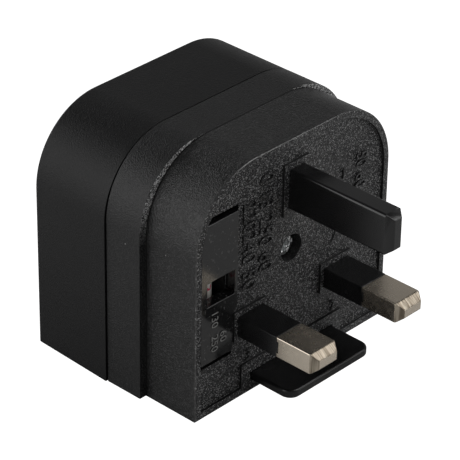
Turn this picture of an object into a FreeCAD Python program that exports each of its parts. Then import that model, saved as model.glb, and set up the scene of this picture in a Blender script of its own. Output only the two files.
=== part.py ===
import FreeCAD, Part
import math
import os

# Fused plug adapter with three flat pins in front and a recess for a round two-pin plug behind.
# Everything is drawn from the plug face and the line through the two flat pins:
# X across, Y back from the plug face into the case, Z up towards the earth pin.
# The last lines move each piece so that Z is measured from the base and Y from mid length.
# All sizes are in millimetres.

# Case outline, as seen on the plug face
front_width = 49.4
grip_width = 52.4
rear_width = 53.0
case_height = 47.1
pin_line_height = 15.1
front_corner_radius = 14.6
grip_corner_radius = 14.2
rear_corner_radius = 14.7

# Case along its depth, back from the plug face
step_depth = 12.0
split_depth = 20.1
case_depth = 37.45
split_gap = 0.2
rear_base_rise = 0.7

# Case walls and plug face
wall = 2.0
plate_thickness = 2.3
panel_depth = 0.5
rim_width = 1.4
base_rim_width = 1.6
rim_edge_radius = 0.35
rear_edge_radius = 0.6
cover_ledge_depth = 16.4
lip_thickness = 1.2
mark_x = 8.9
mark_z = 8.2
mark_radius = 2.3
mark_depth = 0.25

# Flat pins and earth pin
pin_spacing = 22.22
line_pin_width = 6.35
line_pin_thickness = 4.0
line_pin_length = 18.0
line_tip_length = 1.4
line_tip_width = 4.5
line_tip_thickness = 1.7
sleeve_length = 8.9
sleeve_wall = 0.6
sleeve_tongue_length = 0.35
sleeve_tongue_height = 2.0
flange_thickness = 1.6
flange_margin = 0.8
tail_width = 5.0
tail_thickness = 3.6
earth_offset = 22.23
earth_pin_width = 3.95
earth_pin_height = 7.9
earth_pin_length = 22.7
earth_tip_length = 1.4
earth_tip_width = 1.8
earth_tip_height = 5.8
earth_edge_radius = 0.55
earth_stub_depth = 6.0
plateau_side_margin = 0.8
plateau_top_margin = 1.05
earth_plateau_margin = 1.2

# Cartridge fuse and its carrier
fuse_length = 25.4
fuse_radius = 3.175
fuse_cap_length = 5.6
fuse_cap_wall = 0.22
fuse_x = -18.7
fuse_depth = 6.2
fuse_top_room = 9.95
carrier_right_x = -14.3
carrier_foot_x = -15.5
carrier_foot_z = 3.0
carrier_top_margin = 1.3
carrier_foot_margin = 0.95
carrier_face_depth = 0.15
carrier_panel_thickness = 2.2
carrier_arm_thickness = 0.8
carrier_cheek_thickness = 0.9
carrier_cheek_height = 3.2
carrier_side_clearance = 0.15
carrier_top_gap = 1.0
carrier_base_gap = 0.95
window_width = 6.8
window_height = 4.7
window_right_x = -15.0
window_rise = 0.2

# Spring clips, strips and rivets
clip_thickness = 0.4
clip_height = 4.5
clip_grip_clearance = 0.025
clip_back_clearance = 0.15
clip_lead = 0.2
strip_thickness = 0.5
strip_width = 6.0
rivet_radius = 1.0
rivet_head_radius = 1.8
rivet_head_height = 0.8
rivet_depth = 1.6

# Recess and contacts for the guest plug
guest_pin_spacing = 19.0
guest_hole_radius = 2.6
recess_depth = 14.6
recess_floor_thickness = 2.0
collar_wall = 1.6
collar_overlap = 0.1
guide_rib_width = 5.2
guide_rib_height = 1.6
guide_rib_inset = 1.2
contact_bore_radius = 2.5
contact_wall = 0.6
contact_front_depth = 6.5
contact_back_depth = 16.0
contact_slit = 0.8

# Inner partition, shutter and spring
cover_thickness = 1.6
cover_clearance = 0.1
cover_foot_z = -9.0
post_radius = 1.8
shutter_clearance = 0.15
shutter_overlap = 0.55
shutter_travel = 6.0
shutter_width = 26.6
shutter_slot_width = 9.0
shutter_foot_z = 0.0
shutter_bridge_height = 2.2
shutter_ramp = 1.6
rail_thickness = 1.0
spring_radius = 0.85
spring_wire_radius = 0.15
spring_turns = 5
spring_seat_height = 1.0

# Case screw
screw_x = -0.4
screw_z = 9.75
screw_head_radius = 2.4
screw_head_height = 1.8
screw_head_depth = 2.1
screw_head_clearance = 0.2
screw_shank_radius = 1.3
screw_length = 13.5
screw_hole_clearance = 0.25
screw_slot_width = 0.8
screw_slot_length = 3.0
screw_slot_depth = 0.9
front_boss_radius = 4.2
rear_boss_radius = 3.0
boss_meeting_depth = 6.0

# Lock slide
slide_width = 21.4
slide_thickness = 1.7
slide_top_z = -11.2
slide_out = 9.5
slide_corner_radius = 2.2
slide_edge_radius = 0.45
slide_clearance = 0.1
slide_rear_margin = 0.2
slide_shoulder = 0.8
slide_shoulder_length = 2.0
slide_plateau_width = 26.2
slide_plateau_top_z = -8.7
slide_run_margin = 1.5
wedge_width = 10.0
wedge_height = 1.2
wedge_length = 5.0
rib_thickness = 1.2

# Places that follow from the sizes above
base_z = -pin_line_height
top_z = case_height - pin_line_height
front_half = front_width / 2
grip_half = grip_width / 2
rear_half = rear_width / 2
plate_back = panel_depth + plate_thickness
front_shell_end = split_depth - split_gap / 2
rear_shell_start = split_depth + split_gap / 2
pin_x = pin_spacing / 2
guest_x = guest_pin_spacing / 2
guest_centre_z = (base_z + top_z) / 2
recess_radius = case_height / 2 - wall - collar_wall + collar_overlap
recess_floor = case_depth - recess_depth
floor_front = recess_floor - recess_floor_thickness
collar_radius = recess_radius + collar_wall
cover_back = cover_ledge_depth + cover_thickness
cover_half = grip_half - wall - cover_clearance
cover_corner_radius = grip_corner_radius - wall - cover_clearance
tail_end = fuse_depth + fuse_radius + clip_back_clearance
clip_back = tail_end + clip_thickness
clip_inner_half = fuse_radius + clip_grip_clearance
clip_outer_half = clip_inner_half + clip_thickness
fuse_top_z = top_z - fuse_top_room
fuse_middle_z = fuse_top_z - fuse_length / 2
fuse_bottom_z = fuse_top_z - fuse_length
contact_radius = contact_bore_radius + contact_wall
screw_head_seat = screw_head_depth + screw_head_height
shutter_front = cover_back + shutter_clearance
shutter_back = floor_front - shutter_clearance
shutter_top_z = guest_centre_z + guest_hole_radius + shutter_overlap
spring_seat_z = cover_foot_z + spring_seat_height
spring_depth = (shutter_front + shutter_back) / 2
slide_bottom_z = slide_top_z - slide_thickness
slide_half = slide_width / 2
slide_rear = recess_floor - slide_rear_margin
slide_run_end = slide_rear + slide_out + slide_run_margin
supply_clip_z = fuse_bottom_z + fuse_cap_length / 2
load_clip_z = fuse_top_z - fuse_cap_length / 2
busbar_x = pin_x - (pin_x - guest_x) / 2


def box(x0, x1, y0, y1, z0, z1):
    """Block between two values on each axis."""
    return Part.makeBox(x1 - x0, y1 - y0, z1 - z0, FreeCAD.Vector(x0, y0, z0))


def centred_box(x, width, y0, y1, z, height):
    """Block along Y, centred on a point of the XZ plane."""
    return box(x - width / 2, x + width / 2, y0, y1, z - height / 2, z + height / 2)


def rounded_bar(x, width, y0, y1, z, height, radius):
    """Block along Y with its four long edges rounded."""
    bar = centred_box(x, width, y0, y1, z, height)
    long_edges = [e for e in bar.Edges if abs(e.Vertexes[0].Point.y - e.Vertexes[1].Point.y) > 1e-6]
    return bar.makeFillet(radius, long_edges)


def rod(x, z, radius, y0, y1):
    """Cylinder along Y."""
    return Part.makeCylinder(radius, y1 - y0, FreeCAD.Vector(x, y0, z), FreeCAD.Vector(0, 1, 0))


def arch(half_width, low_z, high_z, radius, y0, y1):
    """Block with a flat foot and two round upper corners, extruded along Y."""
    bend = radius * math.sqrt(0.5)
    left = -half_width + radius
    right = half_width - radius
    spring_z = high_z - radius
    foot_left = FreeCAD.Vector(-half_width, y0, low_z)
    foot_right = FreeCAD.Vector(half_width, y0, low_z)
    side_left = FreeCAD.Vector(-half_width, y0, spring_z)
    side_right = FreeCAD.Vector(half_width, y0, spring_z)
    top_left = FreeCAD.Vector(left, y0, high_z)
    top_right = FreeCAD.Vector(right, y0, high_z)
    bend_left = FreeCAD.Vector(left - bend, y0, spring_z + bend)
    bend_right = FreeCAD.Vector(right + bend, y0, spring_z + bend)
    edges = [
        Part.makeLine(foot_left, side_left),
        Part.Arc(side_left, bend_left, top_left).toShape(),
        Part.makeLine(top_left, top_right),
        Part.Arc(top_right, bend_right, side_right).toShape(),
        Part.makeLine(side_right, foot_right),
        Part.makeLine(foot_right, foot_left),
    ]
    return Part.Face(Part.Wire(edges)).extrude(FreeCAD.Vector(0, y1 - y0, 0))


def polygon_block(points, y0, y1):
    """Straight-sided outline in the XZ plane, extruded along Y."""
    corners = [FreeCAD.Vector(x, y0, z) for x, z in points]
    wire = Part.makePolygon(corners + corners[:1])
    return Part.Face(wire).extrude(FreeCAD.Vector(0, y1 - y0, 0))


def side_block(points, x0, x1):
    """Straight-sided outline in the YZ plane, extruded along X."""
    corners = [FreeCAD.Vector(x0, y, z) for y, z in points]
    wire = Part.makePolygon(corners + corners[:1])
    return Part.Face(wire).extrude(FreeCAD.Vector(x1 - x0, 0, 0))


def rectangle(x, z, width, height, y):
    """Closed rectangular wire across the Y axis."""
    w = width / 2
    h = height / 2
    corners = [(x - w, z - h), (x + w, z - h), (x + w, z + h), (x - w, z + h), (x - w, z - h)]
    return Part.makePolygon([FreeCAD.Vector(cx, y, cz) for cx, cz in corners])


def tip(x, z, width, height, tip_width, tip_height, y_full, y_tip):
    """Four-sided taper at the end of a pin."""
    wires = [rectangle(x, z, tip_width, tip_height, y_tip), rectangle(x, z, width, height, y_full)]
    return Part.makeLoft(wires, True, True)


def fused(first, *others):
    """Join solids and merge the faces that lie on one surface."""
    return first.fuse(list(others)).removeSplitter()


def edges_at(shape, y, keep):
    """Edges that lie wholly at depth y and pass the given test on their middle point."""
    found = []
    for edge in shape.Edges:
        if any(abs(v.Point.y - y) > 1e-6 for v in edge.Vertexes):
            continue
        middle = edge.valueAt((edge.FirstParameter + edge.LastParameter) / 2)
        if abs(middle.y - y) < 1e-6 and keep(middle):
            found.append(edge)
    return found


# Shared outlines

def carrier_block(clearance, high_z, low_z, y0, y1):
    """Fuse carrier's outline: it follows the rim at the left and steps round the live pin's plateau."""
    right = carrier_right_x + clearance
    foot = carrier_foot_x + clearance
    bend_z = carrier_foot_z + (right - foot)
    outer = -front_half
    outline = [(outer, low_z), (foot, low_z), (foot, carrier_foot_z),
               (right, bend_z), (right, high_z), (outer, high_z)]
    inset = rim_width - clearance
    limit = arch(front_half - inset, base_z, top_z - inset, front_corner_radius - inset, y0, y1)
    return polygon_block(outline, y0, y1).common(limit)


def front_hollow(clearance, y0, y1):
    """Hollow of the front moulding, or the space inside it that a piece may fill."""
    inset = wall + clearance
    return arch(front_half - inset, base_z + inset, top_z - inset, front_corner_radius - inset, y0, y1)


def slide_plate(clearance, y0, y1):
    """Plain stretch of the lock slide, or the slot that it runs in."""
    half = slide_half + clearance
    return box(-half, half, y0, y1, slide_bottom_z - clearance, slide_top_z + clearance)


def wedge_way(clearance, y0, y1):
    """Space that the slide's wedge passes through."""
    half = wedge_width / 2 + clearance
    return box(-half, half, y0, y1, slide_top_z, slide_top_z + wedge_height + clearance)


# Case mouldings

def front_shell():
    """Pin-side moulding: grip band, rim, sunk panel, plateaus and all that locates the inner pieces."""
    nose = arch(front_half, base_z, top_z, front_corner_radius, 0, step_depth)
    grip = arch(grip_half, base_z, top_z, grip_corner_radius, step_depth, front_shell_end)
    body = fused(nose, grip)
    body = body.makeFillet(rim_edge_radius, edges_at(body, 0, lambda p: True))

    hollow = front_hollow(0, plate_back, cover_ledge_depth)
    mouth = arch(grip_half - wall, base_z + wall, top_z - wall, grip_corner_radius - wall,
                 cover_ledge_depth, split_depth)
    panel = arch(front_half - rim_width, base_z + base_rim_width, top_z - rim_width,
                 front_corner_radius - rim_width, -1, panel_depth)
    body = body.cut([hollow, mouth, panel.cut(plateaus())])

    boss = rod(screw_x, screw_z, front_boss_radius, plate_back, boss_meeting_depth)
    body = fused(body, boss, *front_ribs())

    cuts = [
        centred_box(-pin_x, line_pin_width, -1, plate_back, 0, line_pin_thickness),
        centred_box(pin_x, line_pin_width, -1, plate_back, 0, line_pin_thickness),
        centred_box(0, earth_pin_width, -1, plate_back, earth_offset, earth_pin_height),
        rod(screw_x, screw_z, screw_head_radius + screw_head_clearance, -1, screw_head_seat),
        rod(screw_x, screw_z, screw_shank_radius + screw_hole_clearance, screw_head_seat, boss_meeting_depth),
        rod(mark_x, mark_z, mark_radius, 0, panel_depth + mark_depth),
        slide_plate(slide_clearance, -1, plate_back),
        carrier_pocket(),
    ]
    return body.cut(cuts)


def plateaus():
    """Raised pads round the pins and round the slide's slot, level with the rim."""
    width = line_pin_width + 2 * plateau_side_margin
    height = line_pin_thickness + 2 * plateau_top_margin
    earth_width = earth_pin_width + 2 * earth_plateau_margin
    earth_height = earth_pin_height + 2 * earth_plateau_margin
    return [
        centred_box(-pin_x, width, -1, panel_depth, 0, height),
        centred_box(pin_x, width, -1, panel_depth, 0, height),
        centred_box(0, earth_width, -1, panel_depth, earth_offset, earth_height),
        box(-slide_plateau_width / 2, slide_plateau_width / 2, -1, panel_depth, base_z, slide_plateau_top_z),
    ]


def carrier_pocket():
    """Pocket for the fuse carrier, open at the plug face and deep enough for its arms."""
    high_z = carrier_top_z() + carrier_top_gap
    low_z = carrier_base_z() - carrier_base_gap
    return carrier_block(carrier_side_clearance, high_z, low_z, -1, clip_back + clip_back_clearance)


def front_ribs():
    """Ribs inside the front moulding that guide the carrier and the slide."""
    rib_x = carrier_right_x + 2 * carrier_side_clearance
    rib_half_height = fuse_length / 2 - fuse_cap_length - rib_thickness
    flange_top = line_pin_thickness / 2 + flange_margin
    rib_low = max(fuse_middle_z - rib_half_height, flange_top + cover_clearance)
    carrier_rib = box(rib_x, rib_x + rib_thickness, plate_back, tail_end - clip_back_clearance,
                      rib_low, fuse_middle_z + rib_half_height)
    ribs = [carrier_rib]
    rail_x = slide_half + slide_shoulder + slide_clearance
    for side in (-1, 1):
        x0 = min(side * rail_x, side * (rail_x + rib_thickness))
        ribs.append(box(x0, x0 + rib_thickness, plate_back, cover_ledge_depth,
                        base_z + wall, slide_top_z + rib_thickness))
    return ribs


def rear_shell():
    """Guest-side moulding: outer wall, round collar with its floor, screw boss and shutter rails."""
    outer = arch(rear_half, base_z, top_z, rear_corner_radius, rear_shell_start, case_depth)
    outer = outer.makeFillet(rear_edge_radius, edges_at(outer, case_depth, lambda p: True))
    under = side_block([(rear_shell_start, base_z), (case_depth + 1, base_z),
                        (case_depth + 1, base_z + rear_base_rise)], -rear_half - 1, rear_half + 1)
    outer = outer.cut(under)

    collar = rod(0, guest_centre_z, collar_radius, floor_front, case_depth - wall)
    shoulder_x = slide_half + slide_clearance + rib_thickness
    slide_bed = box(-shoulder_x, shoulder_x, rear_shell_start, case_depth - wall,
                    base_z + wall / 2, cover_foot_z - 2 * cover_clearance)
    hollow = arch(rear_half - wall, base_z + wall, top_z - wall, rear_corner_radius - wall,
                  rear_shell_start - 1, case_depth - wall)
    body = outer.cut(hollow.cut([collar, slide_bed]))

    rail_x = shutter_width / 2 + shutter_clearance
    rails = [box(x0, x0 + rail_thickness, cover_back + cover_clearance, floor_front,
                 shutter_foot_z - shutter_travel, shutter_top_z)
             for x0 in (-rail_x - rail_thickness, rail_x)]
    boss = rod(screw_x, screw_z, rear_boss_radius, boss_meeting_depth, recess_floor)
    body = fused(body, shell_lip(), boss, *rails)

    ribs = [box(x0, x0 + 2 * guide_rib_height, recess_floor, case_depth - guide_rib_inset,
                guest_centre_z - guide_rib_width / 2, guest_centre_z + guide_rib_width / 2)
            for x0 in (-recess_radius - guide_rib_height, recess_radius - guide_rib_height)]
    recess = rod(0, guest_centre_z, recess_radius, recess_floor, case_depth + 1)
    cuts = [
        recess.cut(ribs),
        rod(-guest_x, guest_centre_z, guest_hole_radius, floor_front - 1, recess_floor + 1),
        rod(guest_x, guest_centre_z, guest_hole_radius, floor_front - 1, recess_floor + 1),
        rod(screw_x, screw_z, screw_shank_radius, boss_meeting_depth - 1, floor_front),
        slide_plate(slide_clearance, cover_back, slide_run_end),
        wedge_way(slide_clearance, cover_back, slide_run_end),
    ]
    return body.cut(cuts)


def shell_lip():
    """Lip that plugs the rear moulding into the front one and presses on the inner partition."""
    inner_half = cover_half - lip_thickness
    inner_radius = cover_corner_radius - lip_thickness
    low = base_z + wall + cover_clearance
    high = top_z - wall - cover_clearance
    lip_front = cover_back + cover_clearance / 2
    band_back = rear_shell_start + lip_thickness
    lip = arch(cover_half, low, high, cover_corner_radius, lip_front, band_back)
    band = arch(rear_half - wall / 2, base_z + wall / 2, top_z - wall / 2, rear_corner_radius - wall / 2,
                rear_shell_start, band_back)
    inside = arch(inner_half, low + lip_thickness, high - lip_thickness, inner_radius,
                  lip_front - 1, band_back + 1)
    gate_half = slide_half + slide_clearance + rib_thickness
    gate = box(-gate_half, gate_half, lip_front - 1, rear_shell_start, base_z, cover_foot_z)
    return lip.fuse(band).cut([inside, gate])


def contact_cover():
    """Inner partition: plate on the front moulding's ledge, with posts that press on pins and strips."""
    plate = arch(cover_half, cover_foot_z, top_z - wall - cover_clearance, cover_corner_radius,
                 cover_ledge_depth, cover_back)
    neutral_head = tail_end + strip_thickness + rivet_head_height
    load_head = clip_back + strip_thickness + rivet_head_height
    posts = [
        rod(-pin_x, 0, post_radius, clip_back + rivet_head_height, cover_ledge_depth),
        rod(pin_x, 0, post_radius, neutral_head, cover_ledge_depth),
        rod(-guest_x, load_clip_z, post_radius, load_head, cover_ledge_depth),
        centred_box(0, earth_pin_width, earth_stub_depth, cover_ledge_depth, earth_offset, earth_pin_width),
    ]
    seat_half = spring_radius + spring_wire_radius + rail_thickness / 2
    seat = box(-seat_half, seat_half, cover_back, shutter_back, cover_foot_z, spring_seat_z)
    body = fused(plate, seat, *posts)
    return body.cut([
        rod(-guest_x, guest_centre_z, guest_hole_radius, cover_ledge_depth - 1, cover_back + 1),
        rod(guest_x, guest_centre_z, guest_hole_radius, cover_ledge_depth - 1, cover_back + 1),
        rod(screw_x, screw_z, rear_boss_radius + cover_clearance, cover_ledge_depth - 1, cover_back + 1),
    ])


# Plug pins

def line_pin(x):
    """Brass blade, thinner inside its sleeve, with a flange behind the plate and a riveted tail."""
    blade_end = -(line_pin_length - line_tip_length)
    neck_width = line_pin_width - 2 * sleeve_wall
    neck_thickness = line_pin_thickness - 2 * sleeve_wall
    blade = centred_box(x, line_pin_width, blade_end, -sleeve_length, 0, line_pin_thickness)
    end = tip(x, 0, line_pin_width, line_pin_thickness, line_tip_width, line_tip_thickness,
              blade_end, -line_pin_length)
    neck = centred_box(x, neck_width, -sleeve_length, plate_back, 0, neck_thickness)
    flange = centred_box(x, line_pin_width + 2 * flange_margin, plate_back, plate_back + flange_thickness,
                         0, line_pin_thickness + 2 * flange_margin)
    tail = centred_box(x, tail_width, plate_back, tail_end, 0, tail_thickness)
    pin = fused(blade, end, neck, flange, tail)
    hole = rod(x, 0, rivet_radius, tail_end - rivet_depth, tail_end)
    return pin.cut([hole] + sleeve_tongues(x))


def sleeve_tongues(x):
    """Small keys that lock the sleeve to the blade at both narrow sides."""
    y0 = -sleeve_length - sleeve_tongue_length
    offset = line_pin_width / 2 - sleeve_wall / 2
    return [centred_box(x + side * offset, sleeve_wall, y0, -sleeve_length, 0, sleeve_tongue_height)
            for side in (-1, 1)]


def line_sleeve(x):
    """Insulation moulded round the root of a flat pin."""
    outside = centred_box(x, line_pin_width, -sleeve_length, plate_back, 0, line_pin_thickness)
    inside = centred_box(x, line_pin_width - 2 * sleeve_wall, -sleeve_length, plate_back,
                         0, line_pin_thickness - 2 * sleeve_wall)
    return fused(outside.cut(inside), *sleeve_tongues(x))


def earth_pin():
    """Plastic pin that opens the wall socket's shutters, with its flange and stub."""
    blade_end = -(earth_pin_length - earth_tip_length)
    blade = centred_box(0, earth_pin_width, blade_end, 0, earth_offset, earth_pin_height)
    end = tip(0, earth_offset, earth_pin_width, earth_pin_height, earth_tip_width, earth_tip_height,
              blade_end, -earth_pin_length)
    blade = fused(blade, end).common(rounded_bar(0, earth_pin_width, -earth_pin_length, 0, earth_offset,
                                                 earth_pin_height, earth_edge_radius))
    root = centred_box(0, earth_pin_width, 0, plate_back, earth_offset, earth_pin_height)
    flange = centred_box(0, earth_pin_width + 2 * flange_margin, plate_back, plate_back + flange_thickness,
                         earth_offset, earth_pin_height + 2 * flange_margin)
    flange = flange.common(front_hollow(cover_clearance, plate_back, cover_ledge_depth))
    stub = centred_box(0, earth_pin_width, plate_back, earth_stub_depth, earth_offset, earth_pin_width)
    return fused(blade, root, flange, stub)


# Fuse and carrier

def carrier_top_z():
    return fuse_top_z + carrier_top_margin


def carrier_base_z():
    return fuse_bottom_z - carrier_foot_margin


def fuse_carrier():
    """Pull-out panel with a window, two end arms and cheeks that hold the fuse."""
    panel_back = carrier_face_depth + carrier_panel_thickness
    panel = carrier_block(0, carrier_top_z(), carrier_base_z(), carrier_face_depth, panel_back)
    arm_back = fuse_depth + fuse_radius
    arm_z = [carrier_base_z(), carrier_top_z() - carrier_arm_thickness]
    reach_block = carrier_block(0, carrier_top_z(), carrier_base_z(), panel_back, arm_back)
    arms = [box(fuse_x - fuse_radius, fuse_x + fuse_radius, panel_back, arm_back,
                z, z + carrier_arm_thickness) for z in arm_z]
    arms = [arm.common(reach_block) for arm in arms]
    cheek_x = fuse_radius
    reach = window_height / 2 + carrier_cheek_height
    cheeks = []
    for side in (-1, 1):
        x0 = min(side * cheek_x, side * (cheek_x + carrier_cheek_thickness)) + fuse_x
        cheeks.append(box(x0, x0 + carrier_cheek_thickness, panel_back, fuse_depth + fuse_radius / 2,
                          fuse_middle_z - reach, fuse_middle_z + reach))
    window_z = fuse_middle_z + window_rise
    window = box(window_right_x - window_width, window_right_x, carrier_face_depth - 1, panel_back,
                 window_z - window_height / 2, window_z + window_height / 2)
    return fused(panel, *arms, *cheeks).cut(window)


def fuse_tube(radius, z0, z1):
    """Cylinder along the fuse's axis."""
    return Part.makeCylinder(radius, z1 - z0, FreeCAD.Vector(fuse_x, fuse_depth, z0))


def fuse_body():
    """Ceramic tube, with its ends inside the caps."""
    return fuse_tube(fuse_radius - fuse_cap_wall, fuse_bottom_z + fuse_cap_wall, fuse_top_z - fuse_cap_wall)


def fuse_caps():
    """Metal cap pressed on each end of the fuse."""
    low = fuse_tube(fuse_radius, fuse_bottom_z, fuse_bottom_z + fuse_cap_length)
    high = fuse_tube(fuse_radius, fuse_top_z - fuse_cap_length, fuse_top_z)
    return Part.makeCompound([low.cut(fuse_body()), high.cut(fuse_body())])


# Current path

def fuse_clip(z, rivet_x, rivet_z, tongue_width):
    """U of spring strip open to the front, with a tongue along its back to the rivet that holds it."""
    low = z - clip_height / 2
    high = z + clip_height / 2
    front = plate_back + flange_thickness + clip_lead
    left = box(fuse_x - clip_outer_half, fuse_x - clip_inner_half, front, clip_back, low, high)
    right = box(fuse_x + clip_inner_half, fuse_x + clip_outer_half, front, clip_back, low, high)
    tongue_low = min(low, rivet_z - rivet_head_radius)
    tongue_high = max(high, rivet_z + rivet_head_radius)
    tongue = box(fuse_x - clip_outer_half, rivet_x + tongue_width / 2, tail_end, clip_back,
                 tongue_low, tongue_high)
    return fused(left, right, tongue).cut(rod(rivet_x, rivet_z, rivet_radius, tail_end, clip_back))


def supply_fuse_clip():
    """Lower clip, riveted to the live pin's tail."""
    return fuse_clip(supply_clip_z, -pin_x, 0, tail_width)


def load_fuse_clip():
    """Upper clip, riveted to the strip of the live contact."""
    return fuse_clip(load_clip_z, -guest_x, load_clip_z, strip_width)


def live_busbar():
    """Strip that comes down behind the upper clip and bends back over the live contact."""
    x0 = -guest_x - strip_width / 2
    x1 = -guest_x + strip_width / 2
    shelf_z = guest_centre_z + contact_radius
    upright = box(x0, x1, clip_back, clip_back + strip_thickness, shelf_z, load_clip_z + clip_height / 2)
    shelf = box(x0, x1, clip_back, contact_back_depth, shelf_z, shelf_z + strip_thickness)
    hole = rod(-guest_x, load_clip_z, rivet_radius, clip_back, clip_back + strip_thickness)
    return fused(upright, shelf).cut(hole)


def neutral_busbar():
    """Strip that rises from the neutral pin's tail and bends back under the neutral contact."""
    x0 = busbar_x - strip_width / 2
    x1 = busbar_x + strip_width / 2
    shelf_z = guest_centre_z - contact_radius
    upright = box(x0, x1, tail_end, tail_end + strip_thickness, -tail_thickness / 2, shelf_z)
    shelf = box(x0, x1, tail_end, contact_back_depth, shelf_z - strip_thickness, shelf_z)
    hole = rod(pin_x, 0, rivet_radius, tail_end, tail_end + strip_thickness)
    return fused(upright, shelf).cut(hole)


def guest_contact(x):
    """Split spring sleeve that grips a round pin of the guest plug."""
    outside = rod(x, guest_centre_z, contact_radius, contact_front_depth, contact_back_depth)
    inside = rod(x, guest_centre_z, contact_bore_radius, contact_front_depth, contact_back_depth)
    reach = 2 * contact_radius
    slit = box(min(x, x + math.copysign(reach, x)), max(x, x + math.copysign(reach, x)),
               contact_front_depth, contact_back_depth,
               guest_centre_z - contact_slit / 2, guest_centre_z + contact_slit / 2)
    return outside.cut([inside, slit])


def rivet(x, z, y_start, y_head, front_head):
    """Rivet along Y: shank from y_start, head behind y_head, and a second head in front where asked."""
    shank = rod(x, z, rivet_radius, y_start, y_head)
    head = rod(x, z, rivet_head_radius, y_head, y_head + rivet_head_height)
    pieces = [head]
    if front_head:
        pieces.append(rod(x, z, rivet_head_radius, y_start - rivet_head_height, y_start))
    return fused(shank, *pieces)


def busbar_rivets():
    """Rivets of the live pin, the neutral pin and the upper clip."""
    return Part.makeCompound([
        rivet(-pin_x, 0, tail_end - rivet_depth, clip_back, False),
        rivet(pin_x, 0, tail_end - rivet_depth, tail_end + strip_thickness, False),
        rivet(-guest_x, load_clip_z, tail_end, clip_back + strip_thickness, True),
    ])


# Shutter

def shutter():
    """U-shaped slide: two ramped flaps behind the pin holes, joined below the screw boss."""
    half = shutter_width / 2
    slot = shutter_slot_width / 2
    bridge_top = shutter_foot_z + shutter_bridge_height
    plate = box(-half, half, shutter_front, shutter_back, shutter_foot_z, shutter_top_z)
    gap = box(-slot, slot, shutter_front, shutter_back, bridge_top, shutter_top_z)
    ramp_foot = shutter_top_z - 2 * guest_hole_radius
    ramp = side_block([(shutter_back, ramp_foot), (shutter_back, shutter_top_z),
                       (shutter_back - shutter_ramp, shutter_top_z)], -half, half)
    return plate.cut([gap, ramp])


def shutter_spring():
    """Compression spring under the shutter's bridge: one helix of round wire with flat ends."""
    low = spring_seat_z + spring_wire_radius
    high = shutter_foot_z - spring_wire_radius
    steps = 4 * spring_turns
    rise = (high - low) / steps
    helix = Part.makeHelix((high - low) / spring_turns, high - low, spring_radius)
    helix.translate(FreeCAD.Vector(0, spring_depth, low))
    start = FreeCAD.Vector(spring_radius, spring_depth, low)
    lean = FreeCAD.Vector(0, spring_radius * math.pi / 2, rise)
    ring = Part.Wire(Part.makeCircle(spring_wire_radius, start, lean))
    return Part.Wire(helix).makePipeShell([ring], True, True)


# Fastener and slide

def housing_screw():
    """Pan-head screw with a cross recess; its shank holds in the rear moulding's boss."""
    head = rod(screw_x, screw_z, screw_head_radius, screw_head_depth, screw_head_seat)
    head = head.makeFillet(screw_head_height / 3, edges_at(head, screw_head_depth, lambda p: True))
    shank = rod(screw_x, screw_z, screw_shank_radius, screw_head_seat, screw_head_seat + screw_length)
    slots = []
    for width, height in ((screw_slot_length, screw_slot_width), (screw_slot_width, screw_slot_length)):
        slots.append(centred_box(screw_x, width, screw_head_depth, screw_head_depth + screw_slot_depth,
                                 screw_z, height))
    return fused(head, shank).cut(slots)


def lock_slide():
    """Flat tab with round corners, shoulders that keep it in the case and a wedge at its rear end."""
    plate = slide_plate(0, -slide_out, slide_rear)
    corners = [e for e in plate.Edges
               if all(abs(v.Point.y + slide_out) < 1e-6 for v in e.Vertexes)
               and abs(e.Vertexes[0].Point.x - e.Vertexes[1].Point.x) < 1e-6]
    plate = plate.makeFillet(slide_corner_radius, corners)
    rounded = [e for e in plate.Edges if min(v.Point.y for v in e.Vertexes) < -slide_out / 2
               and abs(e.Vertexes[0].Point.z - e.Vertexes[1].Point.z) < 1e-6]
    plate = plate.makeFillet(slide_edge_radius, rounded)
    shoulder_front = plate_back + slide_clearance
    shoulder_half = slide_half + slide_shoulder
    shoulders = box(-shoulder_half, shoulder_half, shoulder_front, shoulder_front + slide_shoulder_length,
                    slide_bottom_z, slide_top_z)
    wedge = side_block([(slide_rear, slide_top_z), (slide_rear - wedge_length, slide_top_z + wedge_height),
                        (slide_rear - wedge_length, slide_top_z)], -wedge_width / 2, wedge_width / 2)
    return fused(plate, shoulders, wedge)


nodes = {
    "front_shell": front_shell(),
    "rear_shell": rear_shell(),
    "contact_cover": contact_cover(),
    "live_pin": line_pin(-pin_x),
    "neutral_pin": line_pin(pin_x),
    "live_sleeve": line_sleeve(-pin_x),
    "neutral_sleeve": line_sleeve(pin_x),
    "earth_pin": earth_pin(),
    "fuse_carrier": fuse_carrier(),
    "fuse_body": fuse_body(),
    "fuse_caps": fuse_caps(),
    "supply_fuse_clip": supply_fuse_clip(),
    "load_fuse_clip": load_fuse_clip(),
    "live_busbar": live_busbar(),
    "neutral_busbar": neutral_busbar(),
    "live_contact": guest_contact(-guest_x),
    "neutral_contact": guest_contact(guest_x),
    "busbar_rivets": busbar_rivets(),
    "shutter": shutter(),
    "shutter_spring": shutter_spring(),
    "housing_screw": housing_screw(),
    "lock_slide": lock_slide(),
}

# The origin is on the base, under the middle of the whole length from pin tip to rear face
shift = FreeCAD.Vector(0, (earth_pin_length - case_depth) / 2, pin_line_height)

os.makedirs("parts", exist_ok=True)
for name, shape in nodes.items():
    placed = shape.copy()
    placed.translate(shift)
    placed.exportStep("parts/" + name + ".step")
    print(name, len(placed.Solids), "solid(s)", round(placed.Volume, 2), "mm3, valid", placed.isValid())
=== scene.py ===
import math

import bmesh
import bpy
from mathutils import Matrix, Vector
from mathutils.bvhtree import BVHTree


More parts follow.
